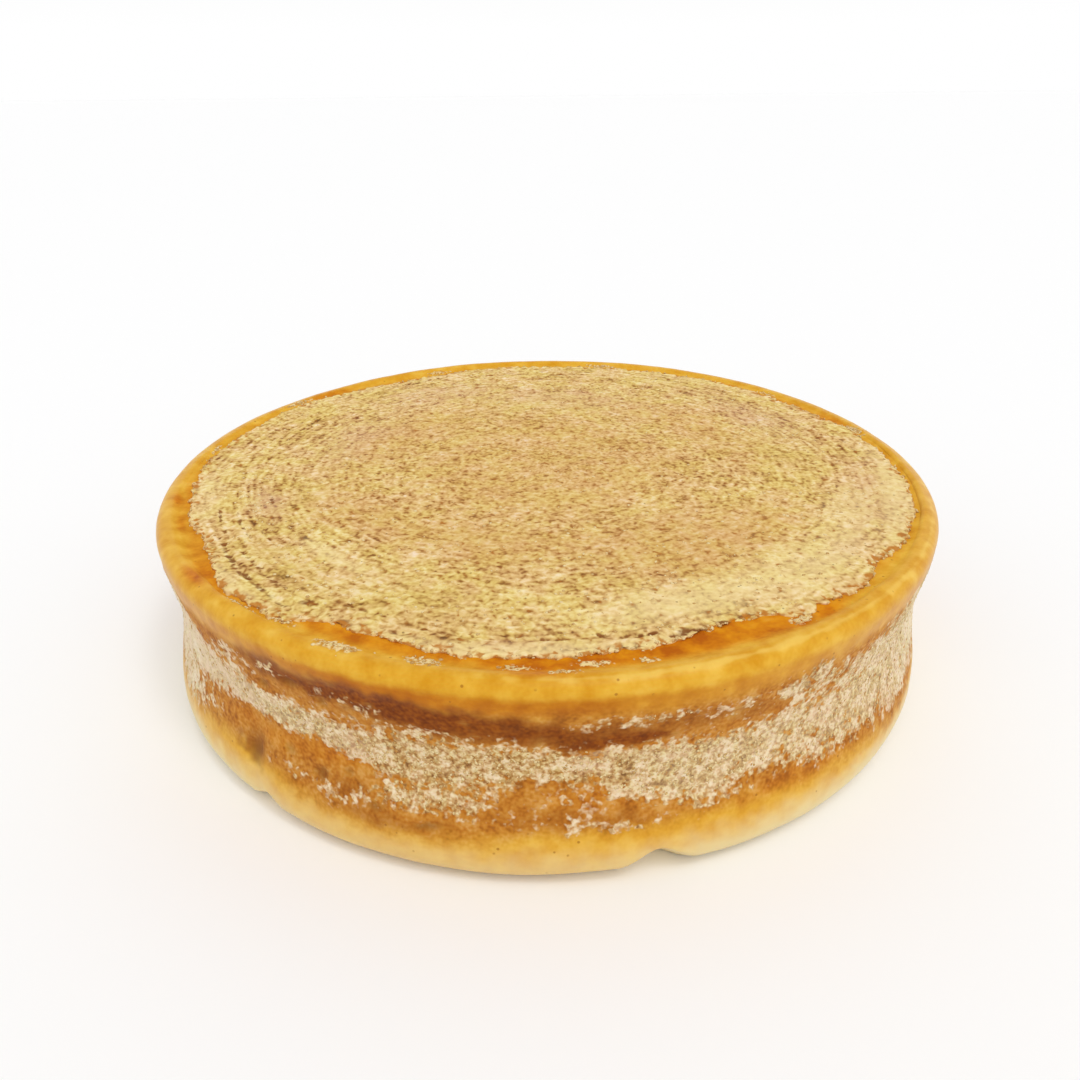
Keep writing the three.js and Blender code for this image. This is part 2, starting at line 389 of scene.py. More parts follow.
BLOOM = [
    (-74, 60, 13, 38, 1), (-64, 64, 9, 27, 1), (-56, 60, 7, 15, 1), (-49, 57, 8, 10, 1), (-40, 57, 8, 8, 1),
    (-59, 32, 7, 12, 0.65), (-68, 78, 10, 16, 1), (66, 80, 11, 15, 1), (-31, 56, 8, 7, 0.95),
    (-23, 54, 5, 7, 0.8), (-17, 55, 6, 12, 0.8), (-10, 55, 7, 13, 0.85), (-13, 37, 7, 7, 0.7),
    (-3, 57, 7, 8, 0.85), (4, 56, 7, 9, 0.85), (11, 52, 7, 12, 0.9), (17, 47, 6, 17, 0.9),
    (24, 51, 6, 13, 0.85), (31, 54, 6, 12, 0.75), (33, 38, 6, 8, 0.6), (41, 48, 8, 18, 0.85),
    (50, 58, 8, 27, 0.95), (60, 66, 10, 31, 1), (70, 58, 12, 36, 1), (9, 77, 8, 4, 0.5), (31, 76, 5, 9, 0.7),
    (7, 28, 5, 3, 0.5), (-50, 38, 5, 8, 0.4), (22, 31, 3, 2, 0.4), (-42, 77, 3, 5, 0.5),
    (-34, 80, 2.5, 4, 0.5), (-26, 77, 2.4, 4, 0.42), (-20.5, 74, 1.8, 5, 0.4), (-44, 70, 7, 6, 0.4),
    (-29, 66, 7, 6, 0.25), (-31, 30, 6, 5, 0.35), (-20, 33, 5, 6, 0.35), (-26, 27, 3, 4, 0.45),
    (0, 31, 8, 4, 0.3), (3, 40, 7, 5, 0.3), (21, 74, 8, 6, 0.35), (-62, 34, 7, 10, 0.4),
    (-15, 69, 8, 4, 0.3), (40, 70, 7, 8, 0.6), (78, 58, 12, 20, 0.85), (98, 52, 12, 14, 0.8),
    (116, 55, 10, 12, 0.85), (55, 34, 8, 11, 0.55), (134, 50, 10, 17, 0.8), (152, 54, 10, 12, 0.85),
    (170, 57, 11, 16, 0.85), (-172, 52, 10, 13, 0.8), (-154, 56, 10, 15, 0.85), (-136, 51, 11, 12, 0.8),
    (-118, 57, 11, 17, 0.85), (-100, 53, 10, 13, 0.8), (-84, 60, 10, 20, 0.85), (140, 74, 7, 5, 0.5),
    (-148, 34, 7, 5, 0.6), (108, 76, 5, 5, 0.4), (-108, 33, 6, 5, 0.4),
]
# Dark brown patches, most of them under the lip: the rind's own colour, and partly painted shade under the
# lip's overhang.
UMBER_AND_SHADE = [
    (-22, 80, 7, 7, 1), (-14, 77, 8, 8, 0.95), (-5, 74, 8, 8, 0.7), (3, 71, 7, 7, 0.6), (8, 67, 6, 3, 0.9),
    (-33, 80, 7, 7, 0.75), (-42, 76, 8, 9, 0.15), (1, 33, 8, 6, 0.3), (15, 74, 8, 5, 0.4),
    (24, 70, 7, 5, 0.35), (9, 31, 4, 4, 0.3), (-24, 33, 3, 5, 0.4), (-39.5, 30, 3, 11, 0.5),
    (-19, 25, 9, 4, 0.35), (52, 26, 7, 6, 0.25), (100, 76, 16, 7, 0.7), (128, 74, 12, 7, 0.5),
    (165, 77, 15, 7, 0.8), (-160, 74, 12, 7, 0.6), (-125, 76, 14, 8, 0.8), (-95, 75, 12, 7, 0.5),
    (110, 30, 8, 6, 0.4), (-170, 28, 8, 6, 0.4),
]
AMBER_HEEL = [
    (-26, 47, 5, 5, 0.4), (4, 40, 4, 5, 0.25), (30, 29, 9, 4, 0.3), (-36, 42, 9, 5, 0.35),
    (125, 36, 12, 7, 0.4), (-140, 40, 12, 7, 0.4),
]
AMBER_SPOTS = [
    (-51, 194, 3.5, 3.2, 1), (-77, 191, 3, 3.2, 0.9), (-69, 188, 4, 3, 0.7), (-1, 193, 4, 3.5, 0.8),
    (21, 184, 10, 5, 0.7), (35, 189, 3, 5, 0.6), (110, 189, 5, 4, 0.8), (-130, 190, 6, 4, 0.8),
]
AMBER_REACH = [
    (-180, 188), (-120, 190), (-92, 191), (-80, 193), (-72, 191), (-64, 189), (-56, 194), (-50, 196.5),
    (-44, 194.5), (-34, 190.5), (-24, 191), (-10, 190.5), (-2, 197), (5, 192), (14, 192), (24, 193),
    (31, 194), (36, 195), (42, 190), (50, 188), (57, 191), (64, 190), (78, 192), (110, 190), (150, 190),
    (180, 188),
]
AMBER_DEPTH = [
    (-180, 0.5), (-120, 0.7), (-90, 0.5), (-78, 0.8), (-70, 0.55), (-60, 0.6), (-50, 0.95), (-38, 0.8),
    (-24, 0.9), (0, 1), (36, 1), (46, 0.35), (57, 0.55), (68, 0.4), (100, 0.6), (150, 0.8), (180, 0.5),
]
# How much darker and more orange the lower face of the lip is, round the wheel.
DARKER_LOWER_LIP_DEPTH = [
    (-180, 0.6), (-100, 0.5), (-60, 0.3), (-40, 0.55), (-20, 1), (0, 0.9), (15, 0.6), (45, 0.3), (90, 0.5),
    (140, 0.8), (180, 0.6),
]
# How strongly bounce light from the floor is painted on the foot, round the wheel.
PALE_FOOT_BOUNCE_LIGHT = [
    (-180, 0.5), (-90, 0.9), (-50, 0.95), (-25, 0.5), (0, 0.55), (20, 0.9), (40, 0.95), (60, 0.8),
    (120, 0.4), (180, 0.5),
]
CHALK_AND_SHEEN = [
    (-180, 0.3), (-110, 0.6), (-88, 1), (-58, 0.95), (-46, 0.65), (-34, 0.35), (-18, 0.05), (4, 0),
    (14, 0.2), (34, 0.3), (50, 0.35), (62, 0.85), (85, 0.95), (110, 0.5), (150, 0.3), (180, 0.3),
]
BROWN_BOTTOM = [
    (-180, 26), (-120, 22), (-60, 24), (-42, 28), (-28, 19), (-12, 20), (0, 25), (22, 26), (40, 24),
    (54, 17), (70, 21), (120, 26), (180, 26),
]
# Where the pale streak on the lip shows: partly wax worn by rubbing, partly a painted highlight.
RUBBED_HIGHLIGHT_LIP = [
    (-180, 0.3), (-90, 0.2), (-40, 0.3), (-12, 0.25), (2, 0.85), (24, 1), (42, 0.85), (60, 0.7), (120, 0.3),
    (180, 0.3),
]
FLAKES = [
    (-24.5, 192, 3, 3, 1), (-14, 190, 2.2, 3.6, 0.85), (-3.5, 188.5, 2.2, 2.4, 0.8),
    (1.5, 192.5, 2, 2, 0.75), (5, 186.5, 2.4, 2, 0.8), (11, 186.5, 1.8, 1.6, 0.7),
    (31.8, 186.5, 1.6, 2.6, 1), (-41, 191, 3, 1.4, 0.6), (-34, 188, 2.4, 1.8, 0.8),
    (104, 190.5, 2.6, 2.2, 0.8), (128, 189, 2.2, 2.6, 0.6), (167, 190, 3, 1.6, 0.8),
    (-156, 189, 2.4, 2, 0.8), (-123, 191.5, 2.8, 1.8, 0.7), (-98, 190.5, 2.2, 1.6, 0.6),
]

# %% Move the body to the uneven wheel and paint it
# Heights and radii in millimetres, from where a change begins to where it is complete. BROWN_START is counted
# from BROWN_BOTTOM, and AMBER_FADE from AMBER_REACH.
BROWN_START = (-5.0, 7.0)
HEEL_TOP = (79.0, 86.0)
BLOOM_TOP = (83.0, 91.0)
DARKER_LIP_START = (78.0, 84.0)
DARKER_LIP_TOP = (88.5, 92.5)
BOUNCE_LIGHT_TOP = (8.0, 25.0)
BAND_START = (92.0, 94.0)
BEAD_START = (90.5, 93.5)
FLAKES_START = (92.0, 93.5)
AMBER_FADE = (-7.0, 1.0)
DRY_BAND = (190.5, 194.5)
BEAD_RADIUS = 197.0
BEAD_HALF_WIDTH = 1.5

put_places(body, uneven(places_of(body)))
body_points = places_of(body)
azimuth, radius, height = cylinder(body_points)
drift = 2.6 * cloud(body_points, 9.0) + 1.6 * cloud(body_points, 3.5, layer=7.0)
on_band = smooth(height, *BAND_START)

brown_bottom = along(BROWN_BOTTOM, azimuth)
heel = smooth(height + drift, brown_bottom + BROWN_START[0], brown_bottom + BROWN_START[1])
heel = heel * (1.0 - smooth(height + 0.6 * drift, *HEEL_TOP))
bloom = patches(BLOOM, azimuth + drift, height + drift) * (1.0 - smooth(height + 0.6 * drift, *BLOOM_TOP))
# Whiter bloom towards the sides: partly the powder's own colour, partly painted sheen where the sides are
# seen at a grazing angle.
chalk_and_sheen = bloom * along(CHALK_AND_SHEEN, azimuth)
dull = np.maximum(0.6 * heel, on_band * (1.0 - smooth(radius, *DRY_BAND)))
# Dark brown under the lip: partly the rind's colour, partly painted shade under its overhang.
umber_and_shade = patches(UMBER_AND_SHADE, azimuth + drift, height + drift)

amber_edge = along(AMBER_REACH, azimuth) + 0.8 * drift
amber_inside = 1.0 - smooth(radius, amber_edge + AMBER_FADE[0], amber_edge + AMBER_FADE[1])
amber = on_band * along(AMBER_DEPTH, azimuth) * amber_inside
amber = np.maximum(amber, on_band * patches(AMBER_SPOTS, azimuth + 0.3 * drift, radius + 0.3 * drift))
amber = np.maximum(amber, (1.0 - on_band) * patches(AMBER_HEEL, azimuth + drift, height + drift))
# A darker, more orange colour on the lip's lower face, just below its edge.
darker_lower_lip = smooth(height, *DARKER_LIP_START) * (1.0 - smooth(height + 0.5 * drift, *DARKER_LIP_TOP))
darker_lower_lip = darker_lower_lip * along(DARKER_LOWER_LIP_DEPTH, azimuth)
# The foot is paler towards the floor: painted bounce light from the floor.
pale = (1.0 - smooth(height + drift, *BOUNCE_LIGHT_TOP)) * along(PALE_FOOT_BOUNCE_LIGHT, azimuth)

# A pale streak along the lip's outer shoulder: partly wax worn by rubbing, partly a painted highlight.
rubbed_highlight = np.exp(-(((radius - BEAD_RADIUS + 0.3 * drift) / BEAD_HALF_WIDTH) ** 2))
rubbed_highlight = rubbed_highlight * smooth(height, *BEAD_START) * along(RUBBED_HIGHLIGHT_LIP, azimuth)
flakes = patches(FLAKES, azimuth + 0.15 * drift, radius + 0.3 * drift) * smooth(height, *FLAKES_START)

body_finishes = {
    "heel": heel, "bloom": bloom, "chalk_and_sheen": chalk_and_sheen, "dull": dull, "umber_and_shade": umber_and_shade,
    "amber": amber, "darker_lower_lip": darker_lower_lip, "pale": pale, "rubbed_highlight": rubbed_highlight, "flakes": flakes,
}
for finish, values in body_finishes.items():
    paint(body, finish, values)

# %% Raise and dent the body
# Azimuth, height, half width and half height in millimetres, and depth of each pit.
PITS = [
    (8.3, 50, 1.6, 1.4, 1), (18.5, 51, 2.4, 1.6, 1.1), (36, 42, 1.8, 1.6, 0.9), (-39.5, 27, 3.2, 6, 0.9),
    (-43, 73, 2.2, 3.4, 0.9), (-36, 68, 2.6, 2.2, 0.9), (-31, 76, 3, 2.4, 0.9), (-26.5, 72, 2.6, 3, 0.8),
    (-21, 75, 3.4, 2, 0.7), (-28, 34, 2.8, 3.4, 1), (-24, 40, 2.2, 2, 0.7), (-20.5, 29, 3.6, 1.8, 0.9),
    (-33, 39, 2, 2.8, 0.7), (-14, 26, 4, 1.4, 0.8), (96, 66, 3, 2.6, 0.9), (103, 38, 2.4, 3.6, 1),
    (147, 70, 3.6, 2.2, 0.8), (-162, 40, 2.6, 3, 1), (-133, 68, 3, 3, 0.9), (-112, 34, 3.4, 2, 0.8),
]
# The rim round each pit: its height, place and squared width, as shares of the pit.
PIT_RIM_RISE = 0.3
PIT_RIM_PLACE = 1.7
PIT_RIM_SPREAD = 0.2
pits = np.zeros_like(azimuth)
for centre, level, across, half_height, depth in PITS:
    half_width = math.degrees(across / WAIST[0])
    away = (degrees_past(centre, azimuth + 0.25 * drift) / half_width) ** 2
    away = away + ((height + 0.5 * drift - level) / half_height) ** 2
    rim = PIT_RIM_RISE * depth * np.exp(-((np.sqrt(away) - PIT_RIM_PLACE) ** 2) / PIT_RIM_SPREAD)
    pits += depth * np.exp(-away) - rim

crumble = curls(body_points, (3.4, 3.4, 3.0), layer=11.0)
wax = 0.22 * cloud(body_points, (24, 24, 12), layer=3.0) + 0.07 * cloud(body_points, (6, 6, 4), layer=5.0)
rough_heel = 0.3 * cloud(body_points, (7, 7, 5), layer=2.0)
rough_heel = rough_heel + 0.16 * cloud(body_points, (3.2, 3.2, 2.8), layer=9.0)
powder = bloom * (0.12 + 0.34 * crumble) + flakes * (0.1 + 0.6 * crumble)

# The underside and the seat beneath the crust stay as they are. Where the crust reaches far out, the band is
# raised a little beside it, so that no crease is left between the two.
edge = crust_edge(azimuth)
free = smooth(height, 0.0, 5.0) * smooth(radius, edge - 4.0, edge - 1.0)
crease_fill = 0.9 * smooth(edge, 184.5, 189.0) * np.exp(-(((radius - edge - 3.6) / 2.3) ** 2)) * on_band
push_out(body, free * ((1.0 - heel) * wax + heel * rough_heel + powder) + crease_fill - heel * pits)
# The pits' depth is kept for painted shade in them.
paint(body, "pit", np.clip(pits, 0.0, 1.0))

# %% [markdown]
# The crust is a dry skin that was turned, salted and brushed for months. Brushing leaves faint rings and
# longer arcs, drying leaves lumps, grooves and curled crumbs, and the edge breaks off in ragged flakes, with
# a lace of small holes. The relief is the sum of these, and the edge is moved in and out by finer noise than
# the solid can hold.

# %% Move the crust to the uneven wheel and rough it up
RING_STEP = 3.6
GROOVES = [
    (-59, 174.4, 4, 1.2, 0.8), (-53, 175.6, 4, 1.6, 1), (-47, 177.4, 4, 1.6, 1), (-41, 179.2, 4, 1.4, 0.9),
    (-36, 181, 3, 1.4, 0.7), (-66, 170.5, 6, 1.1, 0.7), (-50, 169.5, 7, 1.1, 0.7), (-64, 162.5, 8, 1.1, 0.7),
    (-42, 171.5, 6, 1, 0.6), (-72, 145.5, 3, 1.8, 0.8), (-58, 155.5, 9, 0.9, 0.5), (-34, 174, 2.4, 2.4, 0.7),
    (17, 174.4, 3.8, 2.3, 1), (21.8, 173, 2, 2.8, 1), (11.5, 172, 3, 1.2, 0.9), (6.5, 170, 1.6, 1.6, 0.8),
    (8.5, 178.6, 4, 0.9, 0.8), (25.5, 173.8, 2.2, 1.4, 0.9), (28.5, 181, 1.8, 1.8, 1),
    (0, 177.6, 5, 0.9, 0.35), (-9, 178.4, 5, 0.9, 0.35), (-1, 171, 5, 1.2, 0.35), (-14, 171.5, 7, 1.2, 0.5),
    (-19, 176.5, 5, 1, 0.5), (-26, 168.5, 6, 1.2, 0.5), (52, 178, 5, 1, 0.5), (100, 174, 9, 1.3, 0.6),
    (150, 171, 8, 1.2, 0.6), (-150, 175, 10, 1.3, 0.6), (-110, 172, 9, 1.1, 0.5),
]
BRUSHED = [
    (-60, 166, 24, 20, 1), (-54, 124, 20, 18, 0.8), (6, 173, 20, 7, 0.6), (74, 165, 22, 18, 0.6),
    (110, 150, 24, 24, 0.6), (165, 150, 30, 24, 0.7), (-150, 150, 30, 26, 0.8), (-100, 150, 22, 26, 0.8),
]

crust_flat = places_of(crust)
radius = cylinder(crust_flat)[1]
ragged = 1.2 * cloud(crust_flat, 8.0, layer=1.0) + 2.0 * cloud(crust_flat, 3.1, layer=4.0)
near_edge = smooth(radius, CRUST_RADIUS - 9.0, CRUST_RADIUS - 2.5)
wall = smooth(radius, CRUST_RADIUS - 1.6, CRUST_RADIUS - 0.2)
azimuth, radius, height = cylinder(uneven(crust_flat))
radius = radius + near_edge * ragged
crust_points = from_cylinder(azimuth, radius, height)
put_places(crust, crust_points)

from_edge = crust_edge(azimuth) - radius
wobble = 1.6 * cloud(crust_points, 26.0, layer=8.0)
brushed = np.sin(2.0 * math.pi * (radius + wobble) / RING_STEP)
outer = smooth(radius, 120.0, 172.0)
broken = np.clip(0.5 + 1.6 * cloud(crust_points, 13.0, layer=6.0), 0.0, 1.0)
groove = patches(GROOVES, azimuth, radius + 0.4 * wobble)
groove = groove * np.clip(0.9 + 1.8 * cloud(crust_points, 4.0, layer=15.0), 0.3, 1.0)
turned = from_cylinder(azimuth, np.full_like(radius, CRUST_RADIUS), radius + wobble)
arcs = cloud(turned, (22, 22, 1.9), layer=21.0) * (0.3 + 0.7 * patches(BRUSHED, azimuth, radius))
crumb = curls(crust_points, 3.3, layer=12.0)
holes = np.clip(2.8 * cloud(crust_points, 3.4, layer=17.0), 0.0, 1.0)
lace = (1.0 - smooth(from_edge, 0.5, 7.5)) * holes
lumps = 0.22 * cloud(crust_points, 15.0, layer=5.0) + 0.16 * cloud(crust_points, 5.0, layer=13.0)
relief = lumps + 0.22 * (crumb - 0.4) + 0.1 * outer * broken * brushed
relief = relief + 0.5 * arcs - 0.7 * groove - 0.7 * lace
push_out(crust, smooth(height, 92.0, 95.0) * relief)

crust_finishes = {
    "crumb": crumb, "groove": groove, "arcs": arcs, "lace": lace, "wall": wall,
    "ring": outer * broken * (0.5 + 0.5 * brushed),
}
for finish, values in crust_finishes.items():
    paint(crust, finish, values)

# %% Tints on the crust
PINK_SPOTS = [
    (-69, 150, 7, 9, 0.8), (-7, 173, 9, 4, 0.35), (50, 163, 8, 6, 0.5), (74, 172, 16, 14, 0.5),
    (120, 150, 20, 16, 0.6), (-150, 140, 18, 18, 0.6), (-110, 120, 20, 20, 0.5), (170, 110, 30, 18, 0.5),
]
STRAW_SPOTS = [
    (-71, 128, 7, 9, 0.7), (-45, 162, 12, 9, 0.7), (-22, 150, 12, 16, 0.5), (22, 158, 12, 12, 0.4),
    (90, 130, 20, 18, 0.6), (150, 165, 20, 12, 0.6), (-130, 165, 18, 10, 0.6), (-170, 90, 40, 20, 0.5),
]
TAN_SPOTS = [
    (40, 126, 24, 17, 0.85), (30, 100, 30, 22, 0.7), (-55, 110, 24, 14, 0.6), (-20, 96, 30, 22, 0.7),
    (120, 105, 34, 24, 0.6), (-120, 90, 40, 24, 0.6), (176, 150, 14, 8, 0.4), (-60, 125, 10, 5, 0.4),
]
PALE_SPOTS = [
    (-43, 143, 9, 5, 0.8), (-48, 185, 9, 3.5, 0.7), (0, 179, 24, 5, 0.9), (75, 182, 20, 8, 0.7),
    (-78, 178, 12, 8, 0.5), (20, 156, 15, 13, 0.8), (42, 162, 14, 16, 0.7), (66, 160, 14, 14, 0.5),
    (140, 182, 20, 6, 0.5), (-140, 182, 20, 6, 0.5),
]
WORN_SPOTS = [
    (-66, 146, 12, 9, 0.8), (-48, 171, 16, 7, 0.9), (-30, 166, 14, 8, 0.5), (14, 168, 15, 6, 0.9),
    (-8, 174, 18, 5, 0.5), (-52, 114, 20, 8, 0.5), (74, 150, 10, 10, 0.4), (110, 165, 20, 9, 0.7),
    (160, 150, 24, 10, 0.6), (-150, 165, 24, 9, 0.7), (-105, 150, 20, 12, 0.5),
]
sway = 9.0 * cloud(crust_points, 30.0, layer=2.0)
swayed = azimuth + 0.5 * sway
middle_tan = 0.6 * (1.0 - smooth(radius, 40, 110))
paint(crust, "pink", patches(PINK_SPOTS, swayed, radius + sway))
paint(crust, "straw", patches(STRAW_SPOTS, swayed, radius + sway))
paint(crust, "tan", np.maximum(patches(TAN_SPOTS, swayed, radius + sway), middle_tan))
paint(crust, "pale", patches(PALE_SPOTS, swayed, radius + 0.3 * sway))
paint(crust, "worn", patches(WORN_SPOTS, swayed, radius + 0.3 * sway))

# %% [markdown]
# A material is a small network of nodes. These helpers keep its code readable: one adds a node and plugs its
# inputs, and the others name what a painter does, such as laying one colour over another where a mask says
# so. Colours are written as screen values from 0 to 255 and turned into the linear values that light uses.

# %% Node helpers
def colour(red, green, blue):
    """A screen colour as linear light."""
    shares = [value / 255.0 for value in (red, green, blue)]
    return tuple(v / 12.92 if v <= 0.04045 else ((v + 0.055) / 1.055) ** 2.4 for v in shares) + (1.0,)


def plug(tree, socket, item):
    """Gives a socket a value, or the output of another node."""
    if isinstance(item, bpy.types.NodeSocket):
        tree.links.new(item, socket)
    else:
        socket.default_value = item


def add(tree, kind, inputs, settings=()):
    """Adds a shader node of a kind, sets its options and plugs its inputs."""
    made = tree.nodes.new("ShaderNode" + kind)
    for name, value in dict(settings).items():
        setattr(made, name, value)
    for name, item in inputs.items():
        plug(tree, made.inputs[name], item)
    return made


def reckon(tree, operation, first, second):
    """Arithmetic on numbers."""
    return add(tree, "Math", {0: first, 1: second}, {"operation": operation}).outputs[0]


def reckon_vectors(tree, operation, first, second):
    """Arithmetic on vectors."""
    return add(tree, "VectorMath", {0: first, 1: second}, {"operation": operation}).outputs["Vector"]


def weigh(tree, terms):
    """Sum of node outputs, each times its weight."""
    total = 0.0
    for item, weight in terms:
        total = reckon(tree, "ADD", total, reckon(tree, "MULTIPLY", item, weight))
    return total


def grain(tree, place, size, detail=1.0, twist=0.0):
    """Noise with lumps of about a size in millimetres, from 0 to 1 and mostly near a half."""
    inputs = {"Vector": place, "Scale": 1.0 / (size * MM), "Detail": detail, "Distortion": twist}
    return add(tree, "TexNoise", inputs).outputs["Fac"]


def dots(tree, place, size, dot):
    """1 in small round dots, one at a random place in each cell of a size in millimetres."""
    inputs = {"Vector": place, "Scale": 1.0 / (size * MM)}
    cells = add(tree, "TexVoronoi", inputs)
    return ramp(tree, cells.outputs["Distance"], dot / size, 0.45 * dot / size)


def ramp(tree, value, low, high):
    """0 below low, 1 above high, smooth between. Low may be above high."""
    inputs = {"Value": value, "From Min": low, "From Max": high}
    return add(tree, "MapRange", inputs, {"interpolation_type": "SMOOTHSTEP"}).outputs[0]


def over(tree, under, top, share):
    """One colour laid over another by a share."""
    return add(tree, "Mix", {0: share, 6: under, 7: top}, {"data_type": "RGBA"}).outputs[2]


def veil(tree, under, top, where, share):
    """A thin layer of one colour over another, as strong as a mask times a share."""
    return over(tree, under, top, reckon(tree, "MULTIPLY", where, share))


def tinted(tree, shade, hue, low, high):
    """A colour multiplied by a tint that goes from low to high with the hue."""
    tint = over(tree, low + (1.0,), high + (1.0,), hue)
    return reckon_vectors(tree, "MULTIPLY", shade, tint)


def stops(tree, value, places):
    """A colour ramp with the given (place, red, green, blue) stops."""
    made = add(tree, "ValToRGB", {"Fac": value})
    elements = made.color_ramp.elements
    for element, (place, *shade) in zip((elements[0], elements[1]), (places[0], places[-1])):
        element.position = place
        element.color = colour(*shade)
    for place, *shade in places[1:-1]:
        elements.new(place).color = colour(*shade)
    return made.outputs["Color"]


def mask(tree, name):
    """A painted attribute."""
    return add(tree, "Attribute", {}, {"attribute_name": name}).outputs["Fac"]


def drawn_grain(tree, place, along_size, across_size, detail):
    """Noise that is stretched round the wheel's axis, with lumps of the given sizes in millimetres."""
    parts = add(tree, "SeparateXYZ", {"Vector": place})
    flat = add(tree, "CombineXYZ", {"X": parts.outputs["X"], "Y": parts.outputs["Y"]}).outputs[0]
    length = add(tree, "VectorMath", {0: flat}, {"operation": "LENGTH"}).outputs["Value"]
    unit = add(tree, "VectorMath", {0: flat}, {"operation": "NORMALIZE"}).outputs["Vector"]
    turn = CRUST_RADIUS / along_size
    spread = reckon_vectors(tree, "MULTIPLY", unit, (turn, turn, 0.0))
    depth = reckon(tree, "ADD", length, parts.outputs["Z"])
    depth = reckon(tree, "MULTIPLY", depth, 1.0 / (across_size * MM))
    rise = add(tree, "CombineXYZ", {"Z": depth}).outputs[0]
    # The coordinates count lumps already, so the noise isn't scaled.
    unscaled = 1.0 / MM
    return grain(tree, reckon_vectors(tree, "ADD", spread, rise), unscaled, detail=detail)


def new_tree(name):
    """An empty material and its node tree."""
    material = bpy.data.materials.new(name)
    material.use_nodes = True
    material.node_tree.nodes.clear()
    return material, material.node_tree


def finish_tree(tree, shade, rough, bump, extra):
    """Closes a tree with a Principled shader."""
    inputs = {"Base Color": shade, "Roughness": rough, "Normal": bump, **extra}
    shader = add(tree, "BsdfPrincipled", inputs)
    add(tree, "OutputMaterial", {"Surface": shader.outputs[0]})


# %% [markdown]
# The rind is waxy at the lips, browned on the heel and powdery where mould grew. A picture could be wrapped
# round it, but painted rules are easier to move. So noises pick colours from short ramps, and the painted
# numbers say where each finish lies.

# %% Colours of the rind
def wax_colour(tree, level):
    """Waxy yellow, paler at the foot where bounce light from the floor is painted, and darker and more orange
    just below the lip's edge.
    """
    wax = stops(tree, level, [(0.34, 211, 148, 26), (0.5, 221, 165, 46), (0.66, 229, 180, 64)])
    # Paler foot: painted bounce light from the floor.
    wax = over(tree, wax, colour(230, 211, 158), mask(tree, "pale"))
    # Darker and more orange just below the lip's edge.
    darker_lip_colour = stops(tree, level, [(0.34, 178, 98, 0), (0.52, 194, 116, 4), (0.68, 210, 138, 16)])
    return over(tree, wax, darker_lip_colour, mask(tree, "darker_lower_lip"))


def browned_colour(tree, shade, level, middle, fine, speck):
    """The browned heel, the amber beside the crust, the dark band, partly painted shade under the lip, and
    painted shade in the pits, laid over a shade.
    """
    browned = stops(tree, weigh(tree, [(middle, 0.45), (fine, 0.3), (speck, 0.25)]), [
        (0.34, 150, 86, 20), (0.45, 182, 112, 32), (0.55, 196, 132, 48), (0.66, 208, 152, 78),
    ])
    shade = over(tree, shade, browned, mask(tree, "heel"))
    deep = stops(tree, level, [(0.34, 180, 92, 0), (0.48, 203, 119, 2), (0.62, 219, 141, 8)])
    shade = over(tree, shade, deep, mask(tree, "amber"))
    # The dark band: partly the rind's brown, partly painted shade under the lip.
    dark = stops(tree, weigh(tree, [(middle, 0.3), (fine, 0.4), (speck, 0.3)]), [
        (0.34, 104, 44, 2), (0.5, 131, 64, 6), (0.66, 154, 83, 13),
    ])
    dark_share = ramp(tree, weigh(tree, [(mask(tree, "umber_and_shade"), 1.0), (fine, 0.5)]), 0.3, 1.15)
    shade = over(tree, shade, dark, dark_share)
    # Painted shade in the pits, darker where they are deeper.
    return veil(tree, shade, colour(104, 56, 18), mask(tree, "pit"), 0.6)


def lip_marks(tree, place, shade, middle, drawn):
    """A pale streak on the lip, partly wax worn by rubbing and partly a painted highlight, small dark dots,
    and brown scabs under the islands of crust.
    """
    # Painted highlight along the lip, with some wax worn pale by rubbing.
    streak = ramp(tree, weigh(tree, [(mask(tree, "rubbed_highlight"), 1.0), (drawn, 0.8), (middle, 1.4)]), 1.3, 2.05)
    shade = veil(tree, shade, colour(243, 211, 112), streak, 0.4)
    spot = reckon(tree, "MULTIPLY", dots(tree, place, 6.0, 0.8), ramp(tree, middle, 0.47, 0.58))
    shade = veil(tree, shade, colour(146, 78, 14), spot, 0.6)
    scab = ramp(tree, weigh(tree, [(mask(tree, "flakes"), 1.0), (middle, 1.0)]), 0.7, 1.3)
    return veil(tree, shade, colour(176, 104, 22), scab, 0.6)


def powder_colour(tree, curl, broad, lump):
    """Powdery bloom: cream, whiter in places, partly its own colour and partly painted sheen on the sides,
    yellower or pinker in clumps, with small brown pits.
    """
    chalk_and_sheen_mask = mask(tree, "chalk_and_sheen")
    level = weigh(tree, [(curl, 0.6), (lump, 0.4), (chalk_and_sheen_mask, 0.04)])
    shade = stops(tree, level, [
        (0.33, 132, 86, 42), (0.41, 172, 126, 72), (0.485, 199, 161, 106), (0.57, 224, 200, 150),
        (0.7, 236, 220, 180),
    ])
    # Whiter where the powder is whitest and where sheen is painted on the sides.
    shade = veil(tree, shade, colour(239, 227, 194), chalk_and_sheen_mask, 0.8)
    shade = tinted(tree, shade, ramp(tree, lump, 0.36, 0.64), (0.985, 1.0, 0.92), (1.01, 0.975, 1.06))
    return veil(tree, shade, colour(220, 184, 152), ramp(tree, broad, 0.5, 0.62), 0.3)


